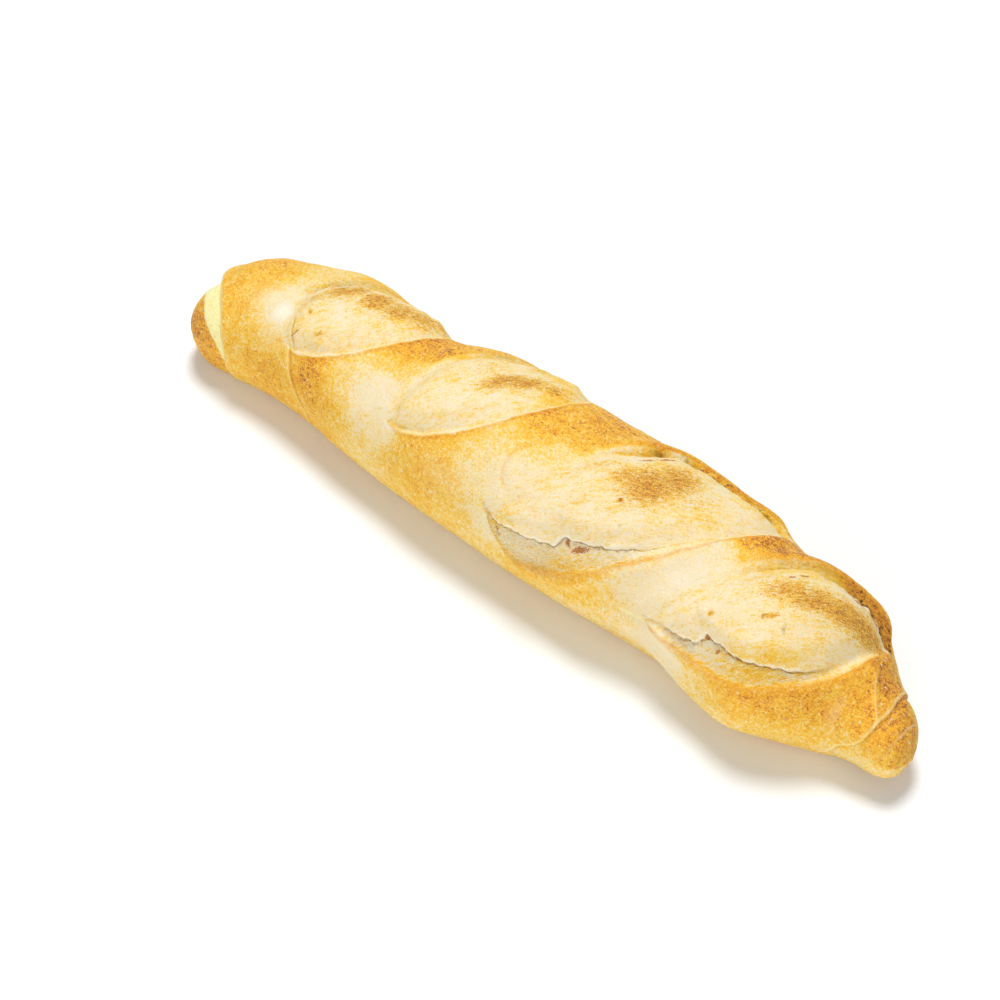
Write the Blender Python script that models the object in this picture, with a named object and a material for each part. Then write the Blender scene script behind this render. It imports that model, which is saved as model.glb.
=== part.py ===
"""A short baguette (a demi-baguette) with four slanting slashes, lying on its flat underside.

Frame: metres, +Z up, +X along the loaf towards its pointed end, origin under the middle of
the loaf on the surface it lies on. One closed solid: the loaf.
"""
import math

import bmesh
import bpy

NAME = "baguette"
MM = 0.001

# ---- overall shape (millimetres) ----
LENGTH = 297.0
HEIGHT_TO_WIDTH = 0.86          # how tall a section stands for its width
CENTRE_HEIGHT = 0.45            # height of a section's centre, as a share of its height
CROWN_REACH = 0.55              # centre to crown, as a share of the height
KEEL_REACH = 0.62               # centre to the keel before the underside is pressed flat
UNDERSIDE_SOFTNESS = 3.2        # rounding where the side turns into the flat underside
TIP_LIFT = 0.55                 # how far a thinner end stands clear, per mm it is thinner
TIP_LIFT_FROM = 20.0            # half width under which an end starts to lift

# Stations along the loaf: (position, half width, sideways drift)
STATIONS = [
    (-149, 21.5, -2.5),
    (-134, 22.0, 2.5),
    (-114, 24.0, 7.0),
    (-96, 26.0, 8.5),
    (-76, 26.0, 6.0),
    (-56, 26.5, 4.0),
    (-36, 29.0, 4.0),
    (-16, 29.5, 3.5),
    (4, 30.0, 3.0),
    (44, 29.5, 3.5),
    (64, 28.0, 2.5),
    (84, 27.5, 0.5),
    (99, 28.0, -1.5),
    (112, 25.0, 0.0),
    (124, 19.0, 0.0),
    (134, 14.0, -3.0),
    (142, 12.5, -5.0),
    (149, 12.5, -7.0),
]
BLUNT_CAP = 24.0                # length over which the blunt end rounds off
POINT_CAP = 12.0                # length over which the pointed end rounds off
CAP_ROUNDNESS = 2.3

# ---- slashes ----
# The loaf's skin is laid out flat as (position along, distance round), half a millimetre
# of distance for every degree round from the crown, positive on the near side.
SKIN_PER_DEGREE = 0.5
SLASHES = [
    {"near": (-99, 54), "far": (-59, -60), "lower": 15.5, "lower_peak": 0.56,
     "upper": 18.0, "upper_peak": 0.38, "rise": 2.6, "lip": 0.6, "furrow": 1.3},
    {"near": (-50, 52), "far": (-4, -60), "lower": 19.0, "lower_peak": 0.56,
     "upper": 15.0, "upper_peak": 0.58, "rise": 2.6, "lip": 0.7, "furrow": 1.3},
    {"near": (-2, 70), "far": (84, -50), "lower": 25.0, "lower_peak": 0.32,
     "upper": 27.0, "upper_peak": 0.58, "rise": 2.6, "lip": 1.6, "furrow": 1.9},
    {"near": (61, 78), "far": (128, -52), "lower": 29.0, "lower_peak": 0.48,
     "upper": 14.0, "upper_peak": 0.66, "rise": 2.8, "lip": 1.8, "furrow": 2.1},
]
FURROW_WIDTH = 2.8              # the furrow between the risen crumb and the crust
FAINT_FURROW = 0.35             # share of its depth left at the near corner's upper edge
PILLOW_RUN = 9.0                # distance in from the furrow over which the crumb rises
LIP_RUN = 5.0                   # distance out from the furrow over which the lip dies away

# ---- swellings and waists of the crust: (position, degrees, height, run along, run round)
SWELLINGS = [
    (86, 112, 3.5, 18, 24),
    (58, 118, -1.7, 14, 24),
    (-53, -62, -1.6, 8, 26),
    (-26, -60, 0.8, 14, 26),
    (92, -62, -1.8, 12, 22),
]

# ---- the two end caps, each behind a small ledge ----
BLUNT_LEDGE = {"at": -130.0, "slant": -0.47, "drop": 2.2}
POINT_LEDGE = {"at": 136.0, "slant": 0.25, "drop": 1.1}
LEDGE_RUN = 2.6

# ---- crust ----
CRUST_COLOUR = (0.76, 0.47, 0.17, 1.0)
CRUST_ROUGHNESS = 0.62

# ---- mesh fineness ----
RINGS = 90
SPOKES = 52
RING_SLANT = 24.0               # rings lean this far along the loaf, to run with the slashes
RING_SLANT_TURN = 10.0          # degrees round from the crown where the lean passes through zero
CROWN_FINENESS = 22.0           # degrees by which the spokes crowd towards the crown


def smooth_step(value):
    """0 below 0, 1 above 1, easing between."""
    value = min(max(value, 0.0), 1.0)
    return value * value * (3.0 - 2.0 * value)


def along(position, column):
    """A station column read at a position, with a smooth curve through the stations."""
    last = len(STATIONS) - 2
    index = 0
    while index < last and position > STATIONS[index + 1][0]:
        index += 1
    rows = [STATIONS[min(max(index + k, 0), last + 1)] for k in (-1, 0, 1, 2)]
    x0, x1, x2, x3 = (row[0] for row in rows)
    v0, v1, v2, v3 = (row[column] for row in rows)
    span = x2 - x1
    t = (position - x1) / span
    slope1 = (v2 - v0) / (x2 - x0)
    slope2 = (v3 - v1) / (x3 - x1)
    return ((2 * t ** 3 - 3 * t ** 2 + 1) * v1 + (t ** 3 - 2 * t ** 2 + t) * span * slope1
            + (3 * t ** 2 - 2 * t ** 3) * v2 + (t ** 3 - t ** 2) * span * slope2)


def half_width(position):
    """Half width of the plain loaf at a position, rounded off to nothing at both ends."""
    end = LENGTH / 2
    blunt = max(0.0, (BLUNT_CAP - end - position) / BLUNT_CAP)
    point = max(0.0, (position - end + POINT_CAP) / POINT_CAP)
    left = max(0.0, 1.0 - blunt ** CAP_ROUNDNESS) ** (1.0 / CAP_ROUNDNESS)
    right = max(0.0, 1.0 - point ** CAP_ROUNDNESS) ** (1.0 / CAP_ROUNDNESS)
    return along(position, 1) * left * right


def hump(share, peak, sharpness=1.1):
    """A leaf edge: nothing at both corners, 1 at its peak."""
    if share <= 0.0 or share >= 1.0:
        return 0.0
    rise = sharpness * peak
    fall = sharpness * (1.0 - peak)
    return (share / peak) ** rise * ((1.0 - share) / (1.0 - peak)) ** fall


def inside_slash(slash, position, degrees):
    """Distance in from the slash's edge, negative outside it, and how deep the furrow is."""
    near_x, near_u = slash["near"][0], slash["near"][1] * SKIN_PER_DEGREE
    far_x, far_u = slash["far"][0], slash["far"][1] * SKIN_PER_DEGREE
    length = math.hypot(far_x - near_x, far_u - near_u)
    run_x, run_u = (far_x - near_x) / length, (far_u - near_u) / length
    dx, du = position - near_x, degrees * SKIN_PER_DEGREE - near_u
    share = (dx * run_x + du * run_u) / length
    across = -dx * run_u + du * run_x
    outside = max(0.0, -share, share - 1.0) * length
    if across >= 0.0:
        edge = slash["lower"] * hump(share, slash["lower_peak"])
        return edge - across - outside, slash["furrow"]
    edge = slash["upper"] * hump(share, slash["upper_peak"])
    depth = FAINT_FURROW + (1.0 - FAINT_FURROW) * smooth_step(share / 0.7)
    return edge + across - outside, slash["furrow"] * depth


def relief(position, degrees):
    """How far the skin stands out from the plain loaf."""
    height = 0.0
    for slash in SLASHES:
        inner, furrow = inside_slash(slash, position, degrees)
        height -= furrow * math.exp(-(inner / FURROW_WIDTH) ** 2)
        if inner > 0.0:
            height += slash["rise"] * smooth_step(inner / PILLOW_RUN)
        else:
            height += slash["lip"] * math.exp(-((inner + 4.0) / LIP_RUN) ** 2)
    for x, angle, swell, run_x, run_deg in SWELLINGS:
        height += swell * math.exp(-((position - x) / run_x) ** 2 - ((degrees - angle) / run_deg) ** 2)
    return height


def ledge_drop(position, sideways):
    """How far the skin steps in on the two end caps."""
    past = BLUNT_LEDGE["at"] + BLUNT_LEDGE["slant"] * sideways - position
    drop = BLUNT_LEDGE["drop"] * smooth_step(past / LEDGE_RUN)
    past = position - POINT_LEDGE["at"] - POINT_LEDGE["slant"] * sideways
    return drop + POINT_LEDGE["drop"] * smooth_step(past / LEDGE_RUN)


def skin_point(position, degrees):
    """A point of the loaf's skin: position along, degrees round from the crown."""
    radius = half_width(position)
    angle = math.radians(degrees)
    sine, cosine = math.sin(angle), math.cos(angle)
    height = 2.0 * radius * HEIGHT_TO_WIDTH
    side = -radius * sine
    standing = min(1.0, radius / 16.0)
    stand_out = relief(position, degrees) * standing - ledge_drop(position, side) * standing
    stand_out *= smooth_step((cosine + 0.75) / 0.45)
    reach = CROWN_REACH if cosine > 0.0 else KEEL_REACH
    up = CENTRE_HEIGHT * height + reach * height * cosine
    side -= stand_out * sine
    up += stand_out * cosine
    soft = UNDERSIDE_SOFTNESS * min(1.0, radius / TIP_LIFT_FROM)
    if up < -soft:
        up = 0.0
    elif up < soft and soft > 0.0:
        up = (up + soft) ** 2 / (4.0 * soft)
    lift = TIP_LIFT * max(0.0, TIP_LIFT_FROM - radius)
    return position * MM, (side + along(position, 2)) * MM, (up + lift) * MM


def ring_positions():
    """Positions of the rings, closer together where the ends round off."""
    end = LENGTH / 2
    places = []
    for k in range(1, RINGS):
        bunched = -math.cos(math.pi * k / RINGS)
        even = -1.0 + 2.0 * k / RINGS
        places.append(end * (0.42 * bunched + 0.58 * even))
    return places


def ring_points(position):
    """One ring of skin points, leaning with the slashes except near the ends."""
    lean = RING_SLANT * smooth_step((LENGTH / 2 - abs(position)) / 55.0)
    points = []
    for k in range(SPOKES):
        turn = -180.0 + 360.0 * k / SPOKES
        degrees = turn - CROWN_FINENESS * math.sin(math.radians(turn))
        shift = -lean * math.sin(math.radians(degrees - RING_SLANT_TURN))
        points.append(skin_point(position + shift, degrees))
    return points


def crust_material():
    """Baked crust: golden, dull."""
    material = bpy.data.materials.new("crust")
    material.use_nodes = True
    shader = material.node_tree.nodes["Principled BSDF"]
    shader.inputs["Base Color"].default_value = CRUST_COLOUR
    shader.inputs["Roughness"].default_value = CRUST_ROUGHNESS
    shader.inputs["Metallic"].default_value = 0.0
    return material


def build_loaf():
    """The loaf as one closed mesh: rings round it and a point at each end."""
    mesh = bmesh.new()
    rings = [[mesh.verts.new(point) for point in ring_points(position)]
             for position in ring_positions()]
    for first, second in zip(rings, rings[1:]):
        for k in range(SPOKES):
            after = (k + 1) % SPOKES
            mesh.faces.new((first[k], first[after], second[after], second[k]))
    for ring, position in ((rings[0], -LENGTH / 2), (rings[-1], LENGTH / 2)):
        tip = mesh.verts.new(skin_point(position, 0.0))
        for k in range(SPOKES):
            mesh.faces.new((ring[k], ring[(k + 1) % SPOKES], tip))
    bmesh.ops.triangulate(mesh, faces=mesh.faces[:])
    bmesh.ops.recalc_face_normals(mesh, faces=mesh.faces[:])

    # bring the middle of the box over the origin and the underside to the ground
    low = [min(v.co[axis] for v in mesh.verts) for axis in range(3)]
    high = [max(v.co[axis] for v in mesh.verts) for axis in range(3)]
    for vertex in mesh.verts:
        vertex.co.x -= (low[0] + high[0]) / 2
        vertex.co.y -= (low[1] + high[1]) / 2
        vertex.co.z -= low[2]

    data = bpy.data.meshes.new(NAME)
    mesh.to_mesh(data)
    mesh.free()
    data.materials.append(crust_material())
    data.shade_smooth()
    loaf = bpy.data.objects.new(NAME, data)
    bpy.context.scene.collection.objects.link(loaf)
    return loaf


for old in list(bpy.data.objects):
    bpy.data.objects.remove(old, do_unlink=True)

build_loaf()
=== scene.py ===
import math

import bpy
import numpy as np
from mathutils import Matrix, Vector, noise


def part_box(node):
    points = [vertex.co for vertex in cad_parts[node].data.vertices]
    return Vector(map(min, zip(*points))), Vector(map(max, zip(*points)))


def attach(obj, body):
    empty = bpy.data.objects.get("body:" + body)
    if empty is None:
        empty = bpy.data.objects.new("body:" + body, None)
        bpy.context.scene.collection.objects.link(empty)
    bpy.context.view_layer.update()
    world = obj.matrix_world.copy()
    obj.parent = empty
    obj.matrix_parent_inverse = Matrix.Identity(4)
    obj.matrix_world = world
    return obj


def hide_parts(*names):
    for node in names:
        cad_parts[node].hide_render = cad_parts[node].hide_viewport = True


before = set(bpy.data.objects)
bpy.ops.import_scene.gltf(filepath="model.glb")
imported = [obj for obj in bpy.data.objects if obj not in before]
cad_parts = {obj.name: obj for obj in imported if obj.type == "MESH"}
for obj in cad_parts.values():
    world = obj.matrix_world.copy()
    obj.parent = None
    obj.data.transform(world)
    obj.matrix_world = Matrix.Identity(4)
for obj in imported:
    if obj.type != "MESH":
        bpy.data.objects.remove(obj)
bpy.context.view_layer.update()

mm = 0.001
edgeReach = 3.0  # millimetres over which the crumb mask rises from 0 to 1
gapReach = 8.0  # the same for the distances from tears and ledges
scene = bpy.context.scene
scene.view_settings.view_transform = "Standard"

# form of the loaf, in millimetres:
# positions run along the loaf, degrees run round it from the crown, positive on the near side
loaf = {
    "length": 297.0,
    "heightToWidth": 0.86,
    "centreHeight": 0.45,
    "crownReach": 0.55,
    "keelReach": 0.62,
    "undersideSoftness": 3.2,
    "tipLift": 0.55,
    "tipLiftFrom": 20.0,
    "bluntCap": 24.0,
    "pointCap": 12.0,
    "capRoundness": 2.3,
    "skinPerDegree": 0.5,
    "rings": 560,
    "spokes": 168,
    "ringLean": 24.0,
    "ringLeanTurn": 10.0,
    "fineness": 34.0,
    "fineTurn": 25.0,
}

# position, half width, sideways drift
stations = [
    (-149, 21.5, -2.5), (-134, 22.0, 2.5), (-114, 24.0, 7.0), (-96, 26.0, 8.5), (-76, 26.0, 6.0),
    (-56, 26.5, 4.0), (-36, 29.0, 4.0), (-16, 29.5, 3.5), (4, 30.0, 3.0), (44, 29.5, 3.5),
    (64, 28.0, 2.5), (84, 27.5, 0.5), (99, 28.0, -1.5), (112, 25.0, 0.0), (124, 19.0, 0.0),
    (134, 14.0, -3.0), (142, 12.5, -5.0), (149, 12.5, -7.0),
]

# swellings and hollows of the crust: position, degrees, height, run along, run round in degrees
swellings = [
    (86, 112, 3.2, 18, 24), (58, 118, -1.7, 14, 24), (-53, -62, -1.6, 8, 26), (-26, -60, 0.8, 14, 26),
    (90, -62, -1.0, 10, 22), (72, -58, 1.7, 13, 24), (118, -60, 2.0, 6, 24), (-66, 78, 0.8, 12, 22),
    (-20, 84, 0.7, 16, 22), (-86, -80, 0.8, 16, 20),
]

# each slash runs from its near corner to its far corner; widths and heights in millimetres.
# strip: torn face between the lip and the tear, as (share along the slash, width);
# wall: how brown the far torn face is painted, partly its toasting and partly painted shade on that face, as
# (share along the slash, browning);
# faint: how softly the near half of that edge melts into the crust
slashes = [
    {"near": (-99, 54), "far": (-59, -60), "lower": 14.0, "lowerPeak": 0.56, "lowerSharp": 1.0,
     "upper": 19.5, "upperPeak": 0.42, "upperSharp": 1.3, "rise": 2.7, "lip": 0.1, "upperLip": 0.4,
     "furrow": 0.9, "upperFurrow": 0.8, "upperFaint": 1.0,
     "strip": [(0.0, 1.0), (1.0, 1.0)], "upperStrip": [(0.0, 1.0), (0.25, 3.0), (0.5, 4.0), (1.0, 1.5)],
     "wall": [(0.0, 0.28), (1.0, 0.35)]},
    {"near": (-50, 52), "far": (-4, -60), "lower": 17.6, "lowerPeak": 0.55, "lowerSharp": 0.9,
     "upper": 15.5, "upperPeak": 0.58, "upperSharp": 1.5, "rise": 2.6, "lip": 0.1, "upperLip": 0.4,
     "furrow": 0.9, "upperFurrow": 0.7, "upperFaint": 0.85,
     "strip": [(0.0, 1.0), (1.0, 1.0)], "upperStrip": [(0.0, 1.0), (0.45, 1.5), (0.6, 4.5), (1.0, 1.5)],
     "wall": [(0.0, 0.3), (0.6, 0.3), (1.0, 0.4)]},
    {"near": (-2, 70), "far": (84, -50), "lower": 23.6, "lowerPeak": 0.28, "lowerSharp": 1.15,
     "upper": 22.0, "upperPeak": 0.60, "upperSharp": 3.0, "rise": 2.9, "lip": 1.5, "upperLip": 2.2,
     "furrow": 0.7, "upperFurrow": 2.6, "upperFaint": 0.9,
     "strip": [(0.0, 9.5), (0.08, 12.0), (0.22, 9.6), (0.265, 12.6), (0.33, 9.0), (0.40, 6.2),
               (0.50, 3.6), (0.58, 2.4), (0.7, 1.3), (1.0, 1.0)],
     "upperStrip": [(0.0, 1.0), (0.42, 1.0), (0.50, 3.0), (0.55, 3.2), (0.60, 1.6), (0.66, 3.0), (0.82, 3.4),
                    (0.92, 2.6), (1.0, 1.0)],
     "wall": [(0.4, 0.35), (0.50, 0.5), (0.55, 0.85), (0.60, 0.5), (0.66, 0.86), (0.88, 0.84), (1.0, 0.4)]},
    {"near": (61, 78), "far": (128, -52), "lower": 28.2, "lowerPeak": 0.47, "lowerSharp": 2.4,
     "upper": 15.5, "upperPeak": 0.68, "upperSharp": 1.8, "rise": 3.0, "lip": 1.6, "upperLip": 1.8,
     "furrow": 0.75, "upperFurrow": 2.0, "upperFaint": 0.9,
     "strip": [(0.0, 2.0), (0.13, 5.5), (0.20, 8.0), (0.245, 13.5), (0.30, 11.5), (0.36, 9.4),
               (0.47, 6.0), (0.53, 3.8), (0.63, 2.2), (0.8, 1.2), (1.0, 1.0)],
     "upperStrip": [(0.0, 1.0), (0.35, 1.5), (0.5, 3.0), (0.66, 4.5), (0.78, 8.0), (0.95, 7.5), (1.0, 3.0)],
     "wall": [(0.0, 0.3), (0.6, 0.34), (0.74, 0.44), (0.81, 0.76), (1.0, 0.82)]},
]


def smoothStep(value):
    value = np.clip(value, 0.0, 1.0)
    return value * value * (3.0 - 2.0 * value)


def curveThrough(knots, values, where):
    # smooth curve through uneven knots
    knots, values = np.asarray(knots, float), np.asarray(values, float)
    last = len(knots) - 1
    one = np.clip(np.searchsorted(knots, where, side="right") - 1, 0, last - 1)
    two, zero, three = one + 1, np.maximum(one - 1, 0), np.minimum(one + 2, last)
    span = knots[two] - knots[one]
    t = (where - knots[one]) / span
    slopeOne = (values[two] - values[zero]) / (knots[two] - knots[zero])
    slopeTwo = (values[three] - values[one]) / (knots[three] - knots[one])
    return ((2 * t ** 3 - 3 * t ** 2 + 1) * values[one] + (t ** 3 - 2 * t ** 2 + t) * span * slopeOne
            + (3 * t ** 2 - 2 * t ** 3) * values[two] + (t ** 3 - t ** 2) * span * slopeTwo)


def halfWidth(position):
    end = loaf["length"] / 2
    blunt = np.clip((loaf["bluntCap"] - end - position) / loaf["bluntCap"], 0, 1)
    point = np.clip((position - end + loaf["pointCap"]) / loaf["pointCap"], 0, 1)
    power = loaf["capRoundness"]
    knots = [row[0] for row in stations]
    plain = curveThrough(knots, [row[1] for row in stations], position)
    return plain * (1 - blunt ** power) ** (1 / power) * (1 - point ** power) ** (1 / power)


def plainSkin(position, degrees):
    # the loaf before slashes and ledges
    radius = halfWidth(position)
    sine, cosine = np.sin(np.radians(degrees)), np.cos(np.radians(degrees))
    height = 2 * radius * loaf["heightToWidth"]
    reach = np.where(cosine > 0, loaf["crownReach"], loaf["keelReach"])
    up = loaf["centreHeight"] * height + reach * height * cosine
    soft = loaf["undersideSoftness"] * np.minimum(1, radius / loaf["tipLiftFrom"]) + 1e-6
    up = np.where(up < -soft, 0, np.where(up < soft, (up + soft) ** 2 / (4 * soft), up))
    up = up + loaf["tipLift"] * np.maximum(0, loaf["tipLiftFrom"] - radius)
    drift = curveThrough([row[0] for row in stations], [row[2] for row in stations], position)
    return np.stack([position + 0 * degrees, drift - radius * sine, up], -1)


def grainNoise(points, size, octaves=1, seed=0.0, stretch=(1, 1, 1)):
    # noise between about -1 and 1 with lumps of the given size
    scaled = points / (np.asarray(stretch) * size) + seed
    if octaves == 1:
        return np.array([noise.noise(Vector(p)) for p in scaled])
    return np.array([noise.fractal(Vector(p), 0.7, 2.1, octaves) for p in scaled])


def hump(share, peak, sharp):
    inside = (share > 0) & (share < 1)
    share = np.clip(share, 1e-5, 1 - 1e-5)
    leaf = (share / peak) ** (sharp * peak) * ((1 - share) / (1 - peak)) ** (sharp * (1 - peak))
    return np.where(inside, leaf, 0)


def slashPlace(slash, position, degrees):
    # share along the slash, distance across it, its length and its direction on the laid out skin
    skin = loaf["skinPerDegree"]
    nearX, nearU = slash["near"][0], slash["near"][1] * skin
    farX, farU = slash["far"][0], slash["far"][1] * skin
    length = math.hypot(farX - nearX, farU - nearU)
    runX, runU = (farX - nearX) / length, (farU - nearU) / length
    dx, du = position - nearX, degrees * skin - nearU
    return (dx * runX + du * runU) / length, -dx * runU + du * runX, length, (runX, runU)


def through(pairs, where):
    return np.interp(where, [p[0] for p in pairs], [p[1] for p in pairs])


def edgeProfile(inside, strip, depth, lip, torn):
    # height across one edge of a slash: lip on the crust, torn strip, tear, then the risen crumb
    out = np.maximum(-inside, 0)
    crest = 1.6
    crust = np.where(out > crest, np.exp(-((out - crest) / 3.6) ** 2), 1 - 0.6 * ((crest - out) / crest) ** 2)
    shelf = 0.35
    walk = np.clip(inside, 0, strip)
    fall = 0.4 * lip - (0.4 * lip + shelf) * smoothStep(walk / 1.8)
    fall = fall - (depth - shelf) * np.clip((walk - 0.8) / np.maximum(strip - 0.8, 0.2), 0, 1) ** 2.2
    floor = 0.4 * lip - (0.4 * lip + shelf) * smoothStep(strip / 1.8) - (depth - shelf)
    climb = -floor * smoothStep((inside - strip) / (1.5 + 1.7 * (1 - torn)))
    return np.where(inside < 0, lip * crust, fall + climb)


def slashRelief(slash, position, degrees, wobble, ragged):
    # height, sideways shift and the masks that one slash gives
    share, across, length, run = slashPlace(slash, position, degrees)
    step = 0.01
    beyond = np.maximum(0, np.maximum(-share, share - 1)) * length

    def edge(name):
        peak, sharp, wide = slash[name + "Peak"], slash[name + "Sharp"], slash[name]
        here = wide * hump(share, peak, sharp)
        rise = hump(share + step, peak, sharp) - hump(share - step, peak, sharp)
        slope = wide * rise / (2 * step * length)
        eased = smoothStep(share / 0.06) * smoothStep((1 - share) / 0.06)
        return here, 1 + (np.sqrt(1 + np.minimum(slope ** 2, 6.0)) - 1) * eased

    low, lowSlope = edge("lower")
    high, highSlope = edge("upper")
    fromLow = (low - across + 0.5 * wobble + 0.2 * ragged) / lowSlope - beyond
    fromHigh = (high + across + 0.5 * wobble + 0.2 * ragged) / highSlope - beyond
    faintHigh = slash["upperFaint"] * (1 - smoothStep((share - 0.28) / 0.36))
    strip = np.maximum(1.0, through(slash["strip"], share) / lowSlope)
    strip = np.where(strip > 1.8, strip + 0.9 * ragged, strip)
    upperStrip = np.maximum(1.0, through(slash["upperStrip"], share))
    upperStrip = np.where(upperStrip > 1.8, upperStrip + 1.2 * ragged, upperStrip)
    torn = smoothStep((strip - 1.5) / 3)
    upperTorn = smoothStep((upperStrip - 1.5) / 3)
    corner = smoothStep((share + 0.02) / 0.08) * smoothStep((1.02 - share) / 0.1)
    depth = slash["furrow"] * (0.8 + 0.4 * torn) * (0.35 + 0.65 * corner)
    upperDepth = slash["upperFurrow"] * (1 - 0.95 * faintHigh) * (0.35 + 0.65 * corner)
    lowerCut = edgeProfile(fromLow, strip, depth, slash["lip"] * corner, torn)
    upperCut = edgeProfile(fromHigh, upperStrip, upperDepth, slash["upperLip"] * corner * (1 - faintHigh),
                           upperTorn)
    cut = np.minimum(lowerCut, 0) * smoothStep((fromHigh + 1) / 1.5)
    cut = cut + np.minimum(upperCut, 0) * smoothStep((fromLow + 1) / 1.5)
    cut = np.maximum(cut, -1.15 * np.maximum(depth, upperDepth))
    cut = cut + np.maximum(np.maximum(lowerCut, upperCut), 0)
    dome = smoothStep((fromLow - strip) / 8) * smoothStep((fromHigh - upperStrip) / 8)
    height = cut + slash["rise"] * dome

    # lips lean in over the opening, the crumb leans out over the tear
    lean = 0.6 * torn * np.exp(-((fromLow - strip - 0.9) / 1.1) ** 2)
    lean -= 0.8 * torn * np.exp(-((fromLow + 0.5) / 1.3) ** 2)
    lean -= 1.1 * upperTorn * np.exp(-((fromHigh - upperStrip - 0.9) / 1.2) ** 2)
    lean += 1.0 * upperTorn * np.exp(-((fromHigh + 0.5) / 1.3) ** 2)
    lean *= corner

    # half way up the mask lies on the edge itself, so the surface noise can fray it
    lowMask = np.clip(0.5 + (fromLow + 0.2) / edgeReach, 0, 1)
    highMask = np.clip(0.5 + (fromHigh + 0.2) / (edgeReach + 14 * faintHigh), 0, 1)
    crumb = np.minimum(lowMask, highMask)
    inside = smoothStep(crumb * 2)
    clear = 1 - np.where(fromLow < fromHigh, 0, faintHigh)
    outside = np.maximum(-np.minimum(fromLow, fromHigh), 0)
    lipMask = np.exp(-((outside - 0.9) / 1.8) ** 2) * corner * clear * np.where(fromLow < fromHigh, 1.0, 0.6)
    tearGap, rimGap = fromLow - strip, fromHigh - upperStrip
    # the hollow mask marks where the surface sinks, for painted shade in the material
    return {"height": height, "lean": lean, "share": share, "across": across, "length": length, "run": run,
            "inner": np.minimum(fromLow, fromHigh), "crumb": crumb, "lip": lipMask,
            "strip": smoothStep((0.1 - tearGap) / 0.5) * inside * torn,
            "farStrip": smoothStep((0.1 - rimGap) / 0.5) * inside * upperTorn,
            "torn": np.exp(-(tearGap / 4) ** 2) * torn * inside,
            "farTorn": np.exp(-(rimGap / 4) ** 2) * upperTorn * inside,
            "hollow": smoothStep(np.maximum(-cut, 0) / 1.1), "tearGap": tearGap, "rimGap": rimGap}


# spots on the slashes: share along, distance across, reach along, reach across, strength
toastSpots = [
    [(0.26, -11, 7, 4, 0.5), (0.40, -11, 8, 5, 0.85), (0.47, -11, 5, 4, 0.9), (0.56, -4.5, 8, 5, 0.85),
     (0.66, 1.0, 8, 5.5, 0.8), (0.76, 4, 8, 5.5, 0.75), (0.88, 4, 7, 5, 0.5), (0.36, -16, 7, 3, 0.45),
     (0.22, 3.4, 1.8, 0.7, 0.8), (0.21, -5.6, 0.8, 1.6, 0.7)],
    [(0.57, 4.0, 8, 3.2, 0.9), (0.67, 6.0, 7, 3.4, 0.85), (0.78, 9.0, 6, 3.0, 0.6), (0.50, -4, 10, 5, 0.3),
     (0.76, -2, 9, 5, 0.32)],
    [(0.53, -1.5, 9.5, 7, 0.95), (0.60, -4, 8, 6.5, 0.9), (0.465, -5, 7, 4, 0.65), (0.45, 3.3, 1.2, 0.9, 1.0),
     (0.66, 3, 8, 5, 0.35), (0.40, -9, 10, 3, 0.35), (0.32, 1.3, 4, 1.6, 0.35)],
    [(0.56, -0.5, 9, 3.6, 0.7), (0.64, 3.0, 8, 4.5, 0.85), (0.72, 5.5, 7, 5, 0.95), (0.80, 6.5, 7, 5, 0.95),
     (0.88, 7.0, 6, 4, 0.85), (0.495, 6.8, 3.2, 0.8, 0.9), (0.50, -4, 9, 3, 0.35),
     (0.30, 2.6, 1.0, 0.9, 0.8)],
]
# yellow-gold zones of the crumb: partly its own colour, partly painted warm light on slopes that face away
# from the key light
glowSpots = [
    [(0.10, -14, 6, 3, 0.5), (0.16, 1, 8, 5, 0.45), (0.30, -19, 12, 3, 1.0), (0.5, -20, 12, 4, 1.0),
     (0.9, -6, 8, 7, 1.0), (0.6, 6, 12, 5, 0.35)],
    [(0.45, -13, 9, 3.5, 0.9), (0.62, -13, 10, 5, 1.2), (0.78, 12.5, 7, 3.0, 1.0), (0.88, 0, 8, 9, 1.0),
     (0.3, -2, 8, 5, 0.3), (0.12, 3, 8, 5, 0.45)],
    [(0.86, -4, 12, 6, 0.7), (0.72, -13, 10, 4, 0.5), (0.70, 9, 12, 4, 0.4), (0.04, 5, 4, 4, 0.6),
     (0.22, 21, 12, 4, 0.8)],
    [(0.56, -10, 8, 4, 0.8), (0.7, -10, 10, 4.5, 1.0), (0.85, -8, 9, 5, 0.8), (0.66, 24, 7, 2.5, 0.6),
     (0.60, 14, 10, 5, 0.4), (0.40, 21, 16, 8, 1.1)],
]
charSpots = [
    [(0.09, -1.0, 3.6, 0.5, 0.5), (0.47, -11.5, 1.5, 0.8, 0.4)],
    [(0.02, 2.0, 1.8, 0.6, 0.35)],
    [(0.272, 13.4, 0.8, 1.7, 0.85), (0.310, 16.2, 3.0, 1.1, 0.95), (0.02, 7.5, 1.0, 2.6, 0.45),
     (0.51, -11.4, 2.6, 0.6, 0.8), (0.565, -13.2, 2.8, 0.9, 1.0), (0.45, 3.0, 0.6, 0.5, 0.7),
     (0.68, -19.6, 2.6, 0.9, 0.9)],
    [(0.245, 8.6, 0.8, 1.4, 0.8), (0.275, 13.6, 1.2, 0.9, 0.8), (0.35, 17.0, 2.0, 0.6, 0.6),
     (0.80, -2.2, 2.6, 1.2, 1.0), (0.86, -1.2, 2.4, 1.2, 1.0), (0.93, 0.8, 2.4, 1.2, 0.9),
     (0.62, -5.4, 1.4, 0.6, 0.9), (0.58, -4.5, 1.2, 0.6, 0.8), (0.70, -7.5, 1.0, 0.5, 0.6)],
]
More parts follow.
